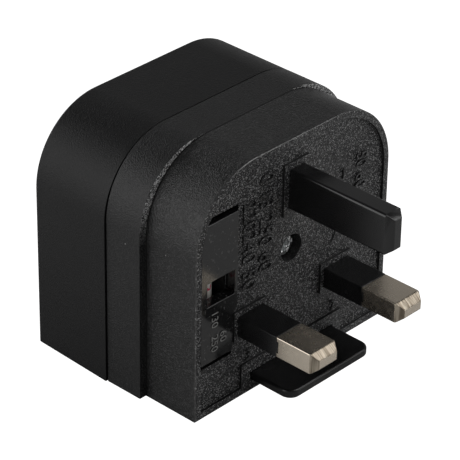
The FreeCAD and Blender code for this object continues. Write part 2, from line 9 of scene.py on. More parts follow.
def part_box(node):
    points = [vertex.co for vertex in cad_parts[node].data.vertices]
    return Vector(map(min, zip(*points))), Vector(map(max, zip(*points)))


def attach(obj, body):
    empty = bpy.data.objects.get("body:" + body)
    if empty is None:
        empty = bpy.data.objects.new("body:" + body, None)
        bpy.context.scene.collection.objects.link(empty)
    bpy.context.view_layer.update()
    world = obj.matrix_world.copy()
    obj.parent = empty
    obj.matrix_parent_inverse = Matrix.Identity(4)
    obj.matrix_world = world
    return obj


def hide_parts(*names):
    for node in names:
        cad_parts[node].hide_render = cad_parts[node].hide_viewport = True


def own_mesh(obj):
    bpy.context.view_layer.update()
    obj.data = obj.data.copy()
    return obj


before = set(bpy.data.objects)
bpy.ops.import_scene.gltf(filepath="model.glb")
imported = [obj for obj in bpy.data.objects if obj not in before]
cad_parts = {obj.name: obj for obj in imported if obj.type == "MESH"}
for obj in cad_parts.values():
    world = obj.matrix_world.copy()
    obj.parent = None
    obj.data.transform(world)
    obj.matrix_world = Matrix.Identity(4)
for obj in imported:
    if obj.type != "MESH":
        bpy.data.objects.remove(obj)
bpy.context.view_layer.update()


# Front moulding: one injection moulding in black ABS that holds the pins, the fuse and the slide.
# The mould's steel was spark eroded, finely on the grip band and nose, coarsely on the plug face,
# so the outside looks soft and even while the face glints grain by grain.
edge_radius = 0.06
face_width = 49.4
face_corner = 14.6
face_depth = 0.8
rim_width = 0.5
grip_start = 12.0
seam_margin = 0.05
corner_shade_width = 0.40
corner_shade_core = 0.28
lip_mark_depth = 18.5
lip_mark_width = 0.35
cloud_size = 14
glint_fade = 8
dust_spacing = 6
dust_radius = 0.12
dust_core = 0.072

front_low, front_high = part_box("front_shell")
face_y, face_base, face_top = front_low.y, front_low.z, front_high.z
face_half = face_width / 2000
pin_low, pin_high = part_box("live_pin")
pin_line_z = (pin_low.z + pin_high.z) / 2


def at(x, y, z):
    """Point given in mm: x across, y back from the plug face, z up from the flat pins' line."""
    return Vector((x / 1000, face_y + y / 1000, pin_line_z + z / 1000))


def linear(code):
    """Linear colour of an sRGB hex value."""
    parts = [int(code[i:i + 2], 16) / 255 for i in (1, 3, 5)]
    return tuple(p / 12.92 if p <= 0.04045 else ((p + 0.055) / 1.055) ** 2.4 for p in parts) + (1.0,)


def new_finish(name):
    """Empty material and its node tree."""
    finish = bpy.data.materials.new(name)
    finish.use_nodes = True
    finish.node_tree.nodes.clear()
    return finish, finish.node_tree


def add_node(tree, kind, inputs=None, **settings):
    """Node with its own settings, and with its inputs set to values or linked to sockets."""
    node = tree.nodes.new(kind)
    for setting, value in settings.items():
        setattr(node, setting, value)
    for key, value in (inputs or {}).items():
        if isinstance(value, bpy.types.NodeSocket):
            tree.links.new(value, node.inputs[key])
        else:
            node.inputs[key].default_value = value
    return node


def joined_copy(node, name, whole_flats=False):
    """New piece from a CAD node with its loose triangles joined, and its flat areas made whole if asked."""
    form = bmesh.new()
    form.from_mesh(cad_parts[node].data)
    bmesh.ops.remove_doubles(form, verts=form.verts, dist=1e-6)
    if whole_flats:
        bmesh.ops.dissolve_limit(form, angle_limit=math.radians(0.4), verts=form.verts, edges=form.edges)
    mesh = bpy.data.meshes.new(name)
    form.to_mesh(mesh)
    form.free()
    piece = bpy.data.objects.new(name, mesh)
    bpy.context.scene.collection.objects.link(piece)
    return piece


def all_solids():
    """Search tree over every CAD node, to tell what shows from outside."""
    points, faces = [], []
    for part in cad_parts.values():
        first = len(points)
        points += [vert.co.copy() for vert in part.data.vertices]
        faces += [[first + index for index in face.vertices] for face in part.data.polygons]
    return BVHTree.FromPolygons(points, faces)


solids = all_solids()
six_ways = [Vector(way) for way in ((1, 0, 0), (-1, 0, 0), (0, 1, 0), (0, -1, 0), (0, 0, 1), (0, 0, -1))]


def break_edges(piece, radius, steps=2, sharp=50, shortest=0.0, hidden=False):
    """Small radius in mm on the edges that turn by more than sharp degrees and show from outside."""
    # Edges that turn by less than this are part of a round surface
    round_turn = 32
    lift = 0.01
    form = bmesh.new()
    form.from_mesh(piece.data)
    weight = form.edges.layers.float.new("bevel_weight_edge")
    for edge in form.edges:
        turn = math.degrees(edge.calc_face_angle(0))
        edge.smooth = turn < round_turn
        if turn > sharp and edge.calc_length() > shortest / 1000:
            outward = (edge.link_faces[0].normal + edge.link_faces[1].normal).normalized()
            start = (edge.verts[0].co + edge.verts[1].co) / 2 + outward * lift / 1000
            if hidden or any(solids.ray_cast(start, way)[0] is None for way in six_ways):
                edge[weight] = 1.0
                edge.smooth = True
    for face in form.faces:
        face.smooth = True
    form.to_mesh(piece.data)
    form.free()
    bevel = piece.modifiers.new("Broken edges", "BEVEL")
    bevel.width = radius / 1000
    bevel.segments = steps
    bevel.limit_method = "WEIGHT"
    bevel.use_clamp_overlap = False
    bevel.loop_slide = False
    flat = piece.modifiers.new("Flat shading of flats", "WEIGHTED_NORMAL")
    flat.keep_sharp = True


def hand_over(piece, body, slot, *nodes):
    """The piece moves with its body and stands for the CAD nodes that it was made from."""
    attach(piece, body)
    if nodes:
        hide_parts(*nodes)


def abs_finish(name, grain, relief, gloss_range, tones, glint_share, specular=0.5, lip_mark=0.0,
               corner_shade=0.0, glints_above=-100.0):
    """Black ABS with the grain of its mould, in mm: tones are two of the skin and one of painted glints."""
    finish, tree = new_finish(name)
    place = add_node(tree, "ShaderNodeTexCoord").outputs["Object"]
    bumps = add_node(tree, "ShaderNodeTexNoise", {"Vector": place, "Scale": 1000 / grain, "Detail": 2.5})
    pits = add_node(tree, "ShaderNodeTexVoronoi", {"Vector": place, "Scale": 1000 / grain})
    cloud = add_node(tree, "ShaderNodeTexNoise", {
        "Vector": place, "Scale": 1000 / cloud_size, "Detail": 3.0})
    # Painted glints: each pit of the grain has its own random colour, and the highest ones are painted pale
    # as if they caught the light, above a given height only
    chance = add_node(tree, "ShaderNodeSeparateColor", {0: pits.outputs["Color"]}).outputs[0]
    picked = add_node(tree, "ShaderNodeMapRange", {
        "Value": chance, "From Min": 1 - glint_share, "From Max": 1.0})
    spot = add_node(tree, "ShaderNodeSeparateXYZ", {0: place}).outputs
    high = add_node(tree, "ShaderNodeMapRange", {
        "Value": spot["Z"], "From Min": at(0, 0, glints_above).z,
        "From Max": at(0, 0, glints_above + glint_fade).z})
    painted_glints = add_node(tree, "ShaderNodeMath", {0: picked.outputs[0], 1: high.outputs[0]},
                    operation="MULTIPLY")
    skin = add_node(tree, "ShaderNodeMix", {
        0: cloud.outputs["Fac"], 6: linear(tones[0]), 7: linear(tones[1])}, data_type="RGBA")
    grained = add_node(tree, "ShaderNodeMix", {
        0: painted_glints.outputs[0], 6: skin.outputs[2], 7: linear(tones[2])}, data_type="RGBA")
    # A few pale specks of dust, which fade from their core to their radius
    lint = add_node(tree, "ShaderNodeTexVoronoi", {"Vector": place, "Scale": 1000 / dust_spacing})
    dusty = add_node(tree, "ShaderNodeMapRange", {
        "Value": lint.outputs["Distance"], "From Min": dust_core / dust_spacing,
        "From Max": dust_radius / dust_spacing, "To Min": 1.0, "To Max": 0.0})
    dusted = add_node(tree, "ShaderNodeMix", {
        0: dusty.outputs[0], 6: grained.outputs[2], 7: linear("#b8b8b6")}, data_type="RGBA")
    # Painted shade: a black line in the tight corner under the step, where shade falls, which fades in
    # from its width to its core and is made duller as well
    dull = add_node(tree, "ShaderNodeMapRange", {
        "Value": spot["Y"], "From Min": at(0, grip_start - corner_shade_width, 0).y,
        "From Max": at(0, grip_start - corner_shade_core, 0).y, "To Min": 0.0, "To Max": corner_shade})
    tone = add_node(tree, "ShaderNodeMix", {
        0: dull.outputs[0], 6: dusted.outputs[2], 7: linear("#010101")}, data_type="RGBA")
    sheen = add_node(tree, "ShaderNodeMapRange", {
        "Value": cloud.outputs["Fac"], "To Min": gloss_range[0], "To Max": gloss_range[1]})
    gloss = add_node(tree, "ShaderNodeMath", {0: dull.outputs[0], 1: 0.6, 2: sheen.outputs[0]},
                     operation="MULTIPLY_ADD")
    # The joint's lip stands behind the wall here, which shows as a faint swelling along the grip band
    offset = add_node(tree, "ShaderNodeMath", {0: spot["Y"], 1: at(0, lip_mark_depth, 0).y},
                      operation="SUBTRACT")
    away = add_node(tree, "ShaderNodeMath", {0: offset.outputs[0]}, operation="ABSOLUTE")
    swell = add_node(tree, "ShaderNodeMapRange", {
        "Value": away.outputs[0], "From Min": 0.0, "From Max": lip_mark_width / 1000,
        "To Min": lip_mark, "To Max": 0.0}, interpolation_type="SMOOTHSTEP")
    rough = add_node(tree, "ShaderNodeMath", {0: bumps.outputs["Fac"], 1: pits.outputs["Distance"]},
                     operation="ADD")
    height = add_node(tree, "ShaderNodeMath", {0: rough.outputs[0], 1: relief, 2: swell.outputs[0]},
                      operation="MULTIPLY_ADD")
    bump = add_node(tree, "ShaderNodeBump", {
        "Height": height.outputs[0], "Strength": 1.0, "Distance": 0.001})
    shader = add_node(tree, "ShaderNodeBsdfPrincipled", {
        "Base Color": tone.outputs[2], "Roughness": gloss.outputs[0], "IOR": 1.54,
        "Specular IOR Level": specular, "Normal": bump.outputs[0]})
    add_node(tree, "ShaderNodeOutputMaterial", {"Surface": shader.outputs[0]})
    return finish


# The nose mirrors softly, and its fine grain breaks the light on the round shoulder into dots, among pale
# painted glints
# Of these, only the nose gets the painted shade line in the corner under the step
abs_nose = abs_finish("ABS, black, fine spark grain", 0.24, 0.075, (0.28, 0.34),
                      ("#0f0f10", "#151515", "#3a3a3a"), 0.35, specular=0.42, corner_shade=1.0)
# The grip band's mould was sparked more gently, so the band looks smoother and duller than the nose
abs_grip = abs_finish("ABS, black, fine spark grain, grip band", 0.24, 0.055, (0.36, 0.42),
                      ("#0f0f10", "#141415", "#262626"), 0.35, specular=0.37, lip_mark=0.008)
# Coarse spark grain on the face, with single pale grains painted on as glints
abs_coarse = abs_finish("ABS, black, coarse spark grain", 0.16, 0.105, (0.22, 0.28),
                        ("#18181a", "#202022", "#a2a2a2"), 0.26)
# The step's narrow shoulder is painted with many pale grains above a height, a painted highlight where it
# goes round the top that draws a bright broken line
abs_shoulder_highlight = abs_finish("ABS, black, coarse spark grain, shoulder, painted highlight", 0.14, 0.10, (0.22, 0.28),
                          ("#101011", "#161617", "#f4f4f4"), 0.60, glints_above=16.0)
# A painted highlight: the face's rounded outer edge is painted pale grey, which shows as a thin bright line
abs_edge_highlight = abs_finish("ABS, black, painted edge highlight", 0.3, 0.02, (0.18, 0.24),
                        ("#2a2a2a", "#3c3c3c", "#7a7a7a"), 0.30, specular=0.7)
# Painted shade: the walls of small steps are painted darker and left dull, which draws dark lines round
# each raised shape
abs_step_shade = abs_finish("ABS, black, step walls, painted shade", 0.30, 0.01, (0.50, 0.60),
                      ("#050505", "#080808", "#0c0c0c"), 0.30)


def inset(point):
    """Distance in mm from the outline of the plug face, whose two upper corners are round."""
    past_side = abs(point.x) - face_half + face_corner / 1000
    past_top = point.z - face_top + face_corner / 1000
    if past_side > 0 and past_top > 0:
        return face_corner - math.hypot(past_side, past_top) * 1000
    return min(face_half - abs(point.x), face_top - point.z, point.z - face_base) * 1000


front = joined_copy("front_shell", "front_moulding")
front_finishes = [abs_nose, abs_coarse, abs_step_shade, abs_grip, abs_shoulder_highlight, abs_edge_highlight]
for finish in front_finishes:
    front.data.materials.append(finish)
# How far a triangle faces forward, from 1 to 0 on a side wall, tells which finish it gets; step walls get
# painted shade and the rounded edge a painted highlight
level_face, side_wall, rounded_edge = 0.85, 0.3, 0.25
for face in front.data.polygons:
    forward = -face.normal.y
    if face.center.y > at(0, grip_start - seam_margin, 0).y:
        face.material_index = front_finishes.index(abs_shoulder_highlight if forward > level_face else abs_grip)
    if face.center.y < at(0, face_depth, 0).y:
        inside = inset(face.center) > rim_width
        if forward > level_face:
            face.material_index = front_finishes.index(abs_coarse)
        elif abs(forward) < side_wall and inside:
            face.material_index = front_finishes.index(abs_step_shade)
        elif forward > rounded_edge and not inside:
            face.material_index = front_finishes.index(abs_edge_highlight)
break_edges(front, edge_radius)
hand_over(front, "case", "case_black", "front_shell")


# Numbers on the plug face: raised 0.3 mm from its sunk panel, by digits cut into the mould.
# They run down the face in two lines beside the earth pin, with smaller ones at the right and one
# by each pin, and share the face's coarse grain. Their backs are sunk a little into the panel.
number_relief = 0.30
number_root = 0.04
panel_depth = 0.5
font_digit_share = 0.70

numbers = bpy.data.node_groups.new("Raised number", "GeometryNodeTree")
for label, kind in (("Text", "String"), ("Digit height", "Float"), ("Relief", "Float"),
                    ("Finish", "Material")):
    numbers.interface.new_socket(label, in_out="INPUT", socket_type="NodeSocket" + kind)
numbers.interface.new_socket("Number", in_out="OUTPUT", socket_type="NodeSocketGeometry")
given = add_node(numbers, "NodeGroupInput").outputs
size = add_node(numbers, "ShaderNodeMath", {0: given["Digit height"], 1: font_digit_share},
                operation="DIVIDE")
outline = add_node(numbers, "GeometryNodeStringToCurves", {
    "String": given["Text"], "Size": size.outputs[0]})
filled = add_node(numbers, "GeometryNodeFillCurve", {"Curve": outline.outputs[0]}, mode="NGONS")
raised = add_node(numbers, "GeometryNodeExtrudeMesh", {
    "Mesh": filled.outputs[0], "Offset Scale": given["Relief"], "Individual": False})
back = add_node(numbers, "GeometryNodeFlipFaces", {"Mesh": filled.outputs[0]})
closed = add_node(numbers, "GeometryNodeJoinGeometry", {"Geometry": raised.outputs["Mesh"]})
numbers.links.new(back.outputs["Mesh"], closed.inputs["Geometry"])
real = add_node(numbers, "GeometryNodeRealizeInstances", {"Geometry": closed.outputs[0]})
welded = add_node(numbers, "GeometryNodeMergeByDistance", {"Geometry": real.outputs[0], "Distance": 1e-6})
dressed = add_node(numbers, "GeometryNodeSetMaterial", {
    "Geometry": welded.outputs[0], "Material": given["Finish"]})
add_node(numbers, "NodeGroupOutput", {0: dressed.outputs[0]})

across = Vector((1, 0, 0))
upward = Vector((0, 0, 1))


def baked(host, group, **inputs):
    """Plain mesh of a geometry tree run on a host mesh, with its inputs given by name."""
    stand = bpy.data.objects.new(host.name, host)
    bpy.context.scene.collection.objects.link(stand)
    run = stand.modifiers.new(group.name, "NODES")
    run.node_group = group
    for label, value in inputs.items():
        run[group.interface.items_tree[label.replace("_", " ")].identifier] = value
    graph = bpy.context.evaluated_depsgraph_get()
    mesh = bpy.data.meshes.new_from_object(stand.evaluated_get(graph))
    bpy.data.objects.remove(stand)
    if mesh.materials[0] is None:
        mesh.materials.pop(index=0)
    return mesh


def number_mesh(text, height, relief, width, finish, corner, along, up):
    """Raised number in mm: width squeezes the digits, corner is where its baseline starts."""
    mesh = baked(bpy.data.meshes.new("blank"), numbers, Text=text, Digit_height=height / 1000,
                 Relief=relief / 1000, Finish=finish)
    turn = Matrix((along * width, up, along.cross(up))).transposed().to_4x4()
    mesh.transform(Matrix.Translation(corner) @ turn)
    # The digits' side walls get the step walls' painted shade, so they stay dark
    mesh.materials.append(abs_step_shade)
    for face in mesh.polygons:
        face.material_index = 1 if abs(face.normal.y) < 0.5 else 0
    return mesh


def one_piece(name, meshes):
    """Piece that holds several meshes, with the material of the first."""
    form = bmesh.new()
    for mesh in meshes:
        form.from_mesh(mesh)
    whole = bpy.data.meshes.new(name)
    form.to_mesh(whole)
    form.free()
    for finish in meshes[0].materials:
        whole.materials.append(finish)
    piece = bpy.data.objects.new(name, whole)
    bpy.context.scene.collection.objects.link(piece)
    return piece


face_numbers = []
for text, height, width, x, z, along, up in (
        ("220240 50", 3.4, 0.86, -13.0, 23.9, -upward, across),
        ("0 13 250 60", 3.4, 0.84, -8.8, 27.7, -upward, across),
        ("50 60", 2.9, 0.78, 15.95, 22.0, -upward, across),
        ("1", 2.1, 0.85, 12.0, 18.3, across, upward),
        ("2", 2.2, 0.85, 10.2, -8.3, across, upward),
        ("3", 2.2, 0.85, -11.9, -8.3, across, upward)):
    face_numbers.append(number_mesh(text, height, number_relief + number_root, width, abs_coarse,
                                    at(x, panel_depth + number_root, z), along, up))
face_digits = one_piece("plug_face_numbers", face_numbers)
hand_over(face_digits, "case", "case_black")


# Rear moulding: the guest side of the case in the same black ABS, from a mould with a finer grain.
# It is held by one screw from the front; its lip leaves a thin open line round the case.
# The grain is so fine that it hardly glints, its painted glints only a little paler, and the wall looks an
# even, soft black.
abs_rear = abs_finish("ABS, black, finest spark grain", 0.24, 0.034, (0.40, 0.46),
                      ("#0c0c0d", "#101011", "#191919"), 0.30, specular=0.26)

rear = joined_copy("rear_shell", "rear_moulding")
rear.data.materials.append(abs_rear)
break_edges(rear, edge_radius)
hand_over(rear, "case", "case_black", "rear_shell")


# Sleeves and earth pin: black PBT, moulded in polished steel, the sleeves round the roots of the
# flat pins and the earth pin in one piece. The plastic is darker and smoother than the case.
sleeve_edge = 0.1
earth_edge = 0.15
pbt_flow = 6
pbt_skin = 0.35
pbt_relief = 0.004

# Smooth PBT keeps a deep black, with one soft line of light along each edge
pbt, tree = new_finish("PBT, black, smooth moulded")
place = add_node(tree, "ShaderNodeTexCoord").outputs["Object"]
flow = add_node(tree, "ShaderNodeTexNoise", {"Vector": place, "Scale": 1000 / pbt_flow, "Detail": 2.0})
skin = add_node(tree, "ShaderNodeTexNoise", {"Vector": place, "Scale": 1000 / pbt_skin, "Detail": 2.0})
tone = add_node(tree, "ShaderNodeMix", {
    0: flow.outputs["Fac"], 6: linear("#0a0a0b"), 7: linear("#101011")}, data_type="RGBA")
gloss = add_node(tree, "ShaderNodeMapRange", {"Value": flow.outputs["Fac"], "To Min": 0.22, "To Max": 0.30})
bump = add_node(tree, "ShaderNodeBump", {
    "Height": skin.outputs["Fac"], "Strength": 1.0, "Distance": pbt_relief / 1000})
shader = add_node(tree, "ShaderNodeBsdfPrincipled", {
    "Base Color": tone.outputs[2], "Roughness": gloss.outputs[0], "IOR": 1.55, "Specular IOR Level": 0.6,
    "Normal": bump.outputs[0]})
add_node(tree, "ShaderNodeOutputMaterial", {"Surface": shader.outputs[0]})

for node, name, radius in (("live_sleeve", "live_pin_sleeve", sleeve_edge),
                           ("neutral_sleeve", "neutral_pin_sleeve", sleeve_edge),
                           ("earth_pin", "earth_pin_moulding", earth_edge)):
    piece = joined_copy(node, name, True)
    piece.data.materials.append(pbt)
    break_edges(piece, radius, steps=3, sharp=30, shortest=0.3)
    hand_over(piece, "case", "sleeve_black", node)


# Flat pins: extruded brass blades with bright nickel plate. Drawing leaves faint lines along the
# blade, tumbling rounds the edges, and handling leaves a soft mottle on the broad sides.
pin_edge = 0.2
line_spacing = 0.3
line_length = 9.0
line_depth = 0.004
mottle_size = 1.6
tip_start = 16.0
streak_spacing = 0.35
streak_length = 6
streak_depth = 0.06

# Nickel over brass mirrors warmly, in patches that are a little clearer or duller
nickel, tree = new_finish("Nickel plate on brass, tumbled")
place = add_node(tree, "ShaderNodeTexCoord").outputs["Object"]
drawn = add_node(tree, "ShaderNodeMapping", {
    "Vector": place, "Scale": (1000 / line_spacing, 1000 / line_length, 1000 / line_spacing)})
lines = add_node(tree, "ShaderNodeTexNoise", {"Vector": drawn.outputs[0], "Scale": 1.0, "Detail": 3.0})
mottle = add_node(tree, "ShaderNodeTexNoise", {
    "Vector": place, "Scale": 1000 / mottle_size, "Detail": 4.0, "Roughness": 0.6})
tone = add_node(tree, "ShaderNodeMix", {
    0: mottle.outputs["Fac"], 6: linear("#dacdbb"), 7: linear("#fcf0de")}, data_type="RGBA")
gloss = add_node(tree, "ShaderNodeMapRange", {
    "Value": mottle.outputs["Fac"], "To Min": 0.18, "To Max": 0.34})
bump = add_node(tree, "ShaderNodeBump", {
    "Height": lines.outputs["Fac"], "Strength": 1.0, "Distance": line_depth / 1000})
shader = add_node(tree, "ShaderNodeBsdfPrincipled", {
    "Base Color": tone.outputs[2], "Metallic": 1.0, "Roughness": gloss.outputs[0],
    "Normal": bump.outputs[0]})
add_node(tree, "ShaderNodeOutputMaterial", {"Surface": shader.outputs[0]})

# The tip's chamfers are milled after drawing: light and dark streaks run down the slope, drawn
# coarser than the real cutter marks so that they show
milled, tree = new_finish("Nickel plate on brass, milled chamfer")
place = add_node(tree, "ShaderNodeTexCoord").outputs["Object"]
cut = add_node(tree, "ShaderNodeMapping", {
    "Vector": place, "Scale": (1000 / streak_spacing, 1000 / streak_length, 1000 / streak_length)})
streaks = add_node(tree, "ShaderNodeTexNoise", {"Vector": cut.outputs[0], "Scale": 1.0, "Detail": 2.0})
sharp_streaks = add_node(tree, "ShaderNodeMapRange", {
    "Value": streaks.outputs["Fac"], "From Min": 0.38, "From Max": 0.62})
tone = add_node(tree, "ShaderNodeMix", {
    0: sharp_streaks.outputs[0], 6: linear("#7d7264"), 7: linear("#c4b9a8")}, data_type="RGBA")
gloss = add_node(tree, "ShaderNodeMapRange", {
    "Value": sharp_streaks.outputs[0], "To Min": 0.30, "To Max": 0.42})
bump = add_node(tree, "ShaderNodeBump", {
    "Height": streaks.outputs["Fac"], "Strength": 1.0, "Distance": streak_depth / 1000})
shader = add_node(tree, "ShaderNodeBsdfPrincipled", {
    "Base Color": tone.outputs[2], "Metallic": 1.0, "Roughness": gloss.outputs[0],
    "Normal": bump.outputs[0]})
add_node(tree, "ShaderNodeOutputMaterial", {"Surface": shader.outputs[0]})

for node, name in (("live_pin", "live_pin_blade"), ("neutral_pin", "neutral_pin_blade")):
    blade = joined_copy(node, name, True)
    blade_finishes = [nickel, milled]
    for finish in blade_finishes:
        blade.data.materials.append(finish)
    for face in blade.data.polygons:
        sloped = max(abs(part) for part in face.normal) < 0.97
        if sloped and face.center.y < at(0, -tip_start, 0).y:
            face.material_index = blade_finishes.index(milled)
    break_edges(blade, pin_edge, steps=3, sharp=30)
    hand_over(blade, "case", "nickel_brass", node)


# Fuse carrier: black polycarbonate from a polished mould, so its front mirrors the live pin.
# It slides into a pocket of the front moulding; its window shows the fuse, its lower half has
# small raised digits.
carrier_edge = 0.14
carrier_face = 0.15
carrier_flow = 9
carrier_wave = 0.04
carrier_dust = 0.5
carrier_number_height = 1.6
carrier_number_relief = 0.12
highlight_patch_size = 0.25

# A polished mould gives a clear dark mirror, broken by specks of dust
gloss_pc, tree = new_finish("Polycarbonate, black, polished mould")
place = add_node(tree, "ShaderNodeTexCoord").outputs["Object"]
flow = add_node(tree, "ShaderNodeTexNoise", {"Vector": place, "Scale": 1000 / carrier_flow, "Detail": 1.0})
dust = add_node(tree, "ShaderNodeTexNoise", {"Vector": place, "Scale": 1000 / carrier_dust, "Detail": 1.0})
speck = add_node(tree, "ShaderNodeMapRange", {
    "Value": dust.outputs["Fac"], "From Min": 0.66, "From Max": 0.72})
tone = add_node(tree, "ShaderNodeMix", {
    0: speck.outputs[0], 6: linear("#111112"), 7: linear("#4a4a4a")}, data_type="RGBA")
gloss = add_node(tree, "ShaderNodeMapRange", {"Value": dust.outputs["Fac"], "To Min": 0.10, "To Max": 0.20})
bump = add_node(tree, "ShaderNodeBump", {
    "Height": flow.outputs["Fac"], "Strength": 1.0, "Distance": carrier_wave / 1000})
shader = add_node(tree, "ShaderNodeBsdfPrincipled", {
    "Base Color": tone.outputs[2], "Roughness": gloss.outputs[0], "IOR": 1.58, "Specular IOR Level": 0.5,
    "Normal": bump.outputs[0]})
add_node(tree, "ShaderNodeOutputMaterial", {"Surface": shader.outputs[0]})

carrier = joined_copy("fuse_carrier", "fuse_carrier_moulding")
carrier.data.materials.append(gloss_pc)
break_edges(carrier, carrier_edge)
hand_over(carrier, "fuse_carrier", "carrier_black", "fuse_carrier")

# Painted highlight: the tops of the digits are painted a patchy pale grey, as if lit
pc_number_highlight, tree = new_finish("Polycarbonate, black, number tops, painted highlight")
place = add_node(tree, "ShaderNodeTexCoord").outputs["Object"]
highlight_patches = add_node(tree, "ShaderNodeTexNoise", {"Vector": place, "Scale": 1000 / highlight_patch_size, "Detail": 2.0})
tone = add_node(tree, "ShaderNodeMix", {
    0: highlight_patches.outputs["Fac"], 6: linear("#2a2a2a"), 7: linear("#b4b4b2")}, data_type="RGBA")
shader = add_node(tree, "ShaderNodeBsdfPrincipled", {
    "Base Color": tone.outputs[2], "Roughness": 0.4, "IOR": 1.58})
add_node(tree, "ShaderNodeOutputMaterial", {"Surface": shader.outputs[0]})

carrier_numbers = [
    number_mesh(text, carrier_number_height, carrier_number_relief + number_root, 1.0, pc_number_highlight,
                at(x, carrier_face + number_root, z), -upward, across)
    for text, x, z in (("130", -20.8, 5.9), ("250", -20.8, 1.0), ("60", -18.65, 1.0))]
carrier_digits = one_piece("fuse_carrier_numbers", carrier_numbers)
hand_over(carrier_digits, "fuse_carrier", "carrier_black")


# Cartridge fuse: a ceramic tube, fired and left unglazed, with a pressed metal cap at each end
# and a number printed in red ink where the window shows it.
ceramic_grain = 0.6
ceramic_relief = 0.01
cap_rub = 0.8
print_height = 2.2
print_top = 10.3
print_shift = 0.9
print_squeeze = 0.9
print_strip = 0.25
print_cuts = 8
ink_film = 0.02
ink_wear = 0.4

# Unglazed ceramic is an even, chalky off-white
ceramic, tree = new_finish("Steatite ceramic, fired")
place = add_node(tree, "ShaderNodeTexCoord").outputs["Object"]
body = add_node(tree, "ShaderNodeTexNoise", {"Vector": place, "Scale": 1000 / ceramic_grain, "Detail": 4.0})
tone = add_node(tree, "ShaderNodeMix", {
    0: body.outputs["Fac"], 6: linear("#e9e5dd"), 7: linear("#f6f3ee")}, data_type="RGBA")
bump = add_node(tree, "ShaderNodeBump", {
    "Height": body.outputs["Fac"], "Strength": 1.0, "Distance": ceramic_relief / 1000})
shader = add_node(tree, "ShaderNodeBsdfPrincipled", {
    "Base Color": tone.outputs[2], "Roughness": 0.55, "IOR": 1.58, "Normal": bump.outputs[0]})
add_node(tree, "ShaderNodeOutputMaterial", {"Surface": shader.outputs[0]})


def dress(node, finish):
    """Better material on a CAD node whose shape is right."""
    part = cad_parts[node]
    part.data.materials.clear()
    part.data.materials.append(finish)


dress("fuse_body", ceramic)

# The caps are pressed thin and rubbed by the clips, so their shine is uneven
cap_metal, tree = new_finish("Nickel plate on copper, pressed")
place = add_node(tree, "ShaderNodeTexCoord").outputs["Object"]
rub = add_node(tree, "ShaderNodeTexNoise", {"Vector": place, "Scale": 1000 / cap_rub, "Detail": 3.0})
tone = add_node(tree, "ShaderNodeMix", {
    0: rub.outputs["Fac"], 6: linear("#b5b0a6"), 7: linear("#d6d2c9")}, data_type="RGBA")
gloss = add_node(tree, "ShaderNodeMapRange", {"Value": rub.outputs["Fac"], "To Min": 0.2, "To Max": 0.38})
shader = add_node(tree, "ShaderNodeBsdfPrincipled", {
    "Base Color": tone.outputs[2], "Metallic": 1.0, "Roughness": gloss.outputs[0]})
add_node(tree, "ShaderNodeOutputMaterial", {"Surface": shader.outputs[0]})
dress("fuse_caps", cap_metal)

# Pad printed ink lies thin, so the red is strong but a little patchy
ink, tree = new_finish("Ink, red, pad printed")
place = add_node(tree, "ShaderNodeTexCoord").outputs["Object"]
wear = add_node(tree, "ShaderNodeTexNoise", {"Vector": place, "Scale": 1000 / ink_wear, "Detail": 3.0})
tone = add_node(tree, "ShaderNodeMix", {
    0: wear.outputs["Fac"], 6: linear("#c4003e"), 7: linear("#e81e62")}, data_type="RGBA")
shader = add_node(tree, "ShaderNodeBsdfPrincipled", {"Base Color": tone.outputs[2], "Roughness": 0.5})
add_node(tree, "ShaderNodeOutputMaterial", {"Surface": shader.outputs[0]})

# The ink sits on the round ceramic, so the digits are cut into strips and bent to its radius
fuse_low, fuse_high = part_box("fuse_body")
fuse_axis = (fuse_low + fuse_high) / 2
fuse_radius = (fuse_high.x - fuse_low.x) / 2
digits = number_mesh("13", print_height, 2 * ink_film, print_squeeze, ink,
                     Vector((0, 0, at(0, 0, print_top).z)), -upward, across)
form = bmesh.new()
form.from_mesh(digits)
for cut_line in range(-print_cuts, print_cuts + 1):
    parts = form.verts[:] + form.edges[:] + form.faces[:]
    line_at = across * cut_line * print_strip / 1000
    bmesh.ops.bisect_plane(form, geom=parts, plane_co=line_at, plane_no=across)
for vert in form.verts:
    angle = (vert.co.x - print_shift / 1000) / fuse_radius
    height = fuse_radius - vert.co.y - ink_film / 1000
    vert.co.x = fuse_axis.x + height * math.sin(angle)
    vert.co.y = fuse_axis.y - height * math.cos(angle)
form.to_mesh(digits)
form.free()
fuse_print = one_piece("fuse_rating_print", [digits])
hand_over(fuse_print, "fuse_carrier", "ceramic")


# Current path inside: clips, strips and guest contacts pressed from rolled brass strip, joined by
# copper rivets. Rolling leaves a fine straight grain and air leaves the brass a little dull.
roll_grain = 0.25
roll_length = 12
roll_depth = 0.006
tarnish_size = 4
copper_tint = 1.2

# Brass shows a warm yellow that changes from clear to dull in broad patches
brass, tree = new_finish("Brass strip, rolled and pressed")
place = add_node(tree, "ShaderNodeTexCoord").outputs["Object"]
drawn = add_node(tree, "ShaderNodeMapping", {
    "Vector": place, "Scale": (1000 / roll_grain, 1000 / roll_length, 1000 / roll_grain)})
lines = add_node(tree, "ShaderNodeTexNoise", {"Vector": drawn.outputs[0], "Scale": 1.0, "Detail": 3.0})
dull = add_node(tree, "ShaderNodeTexNoise", {"Vector": place, "Scale": 1000 / tarnish_size, "Detail": 4.0})
tone = add_node(tree, "ShaderNodeMix", {
    0: dull.outputs["Fac"], 6: linear("#a98447"), 7: linear("#d2ac68")}, data_type="RGBA")
gloss = add_node(tree, "ShaderNodeMapRange", {"Value": dull.outputs["Fac"], "To Min": 0.24, "To Max": 0.42})
bump = add_node(tree, "ShaderNodeBump", {
    "Height": lines.outputs["Fac"], "Strength": 1.0, "Distance": roll_depth / 1000})
shader = add_node(tree, "ShaderNodeBsdfPrincipled", {
    "Base Color": tone.outputs[2], "Metallic": 1.0, "Roughness": gloss.outputs[0],
    "Normal": bump.outputs[0]})
add_node(tree, "ShaderNodeOutputMaterial", {"Surface": shader.outputs[0]})

for node in ("supply_fuse_clip", "load_fuse_clip", "live_busbar", "neutral_busbar", "live_contact",
             "neutral_contact"):
    dress(node, brass)

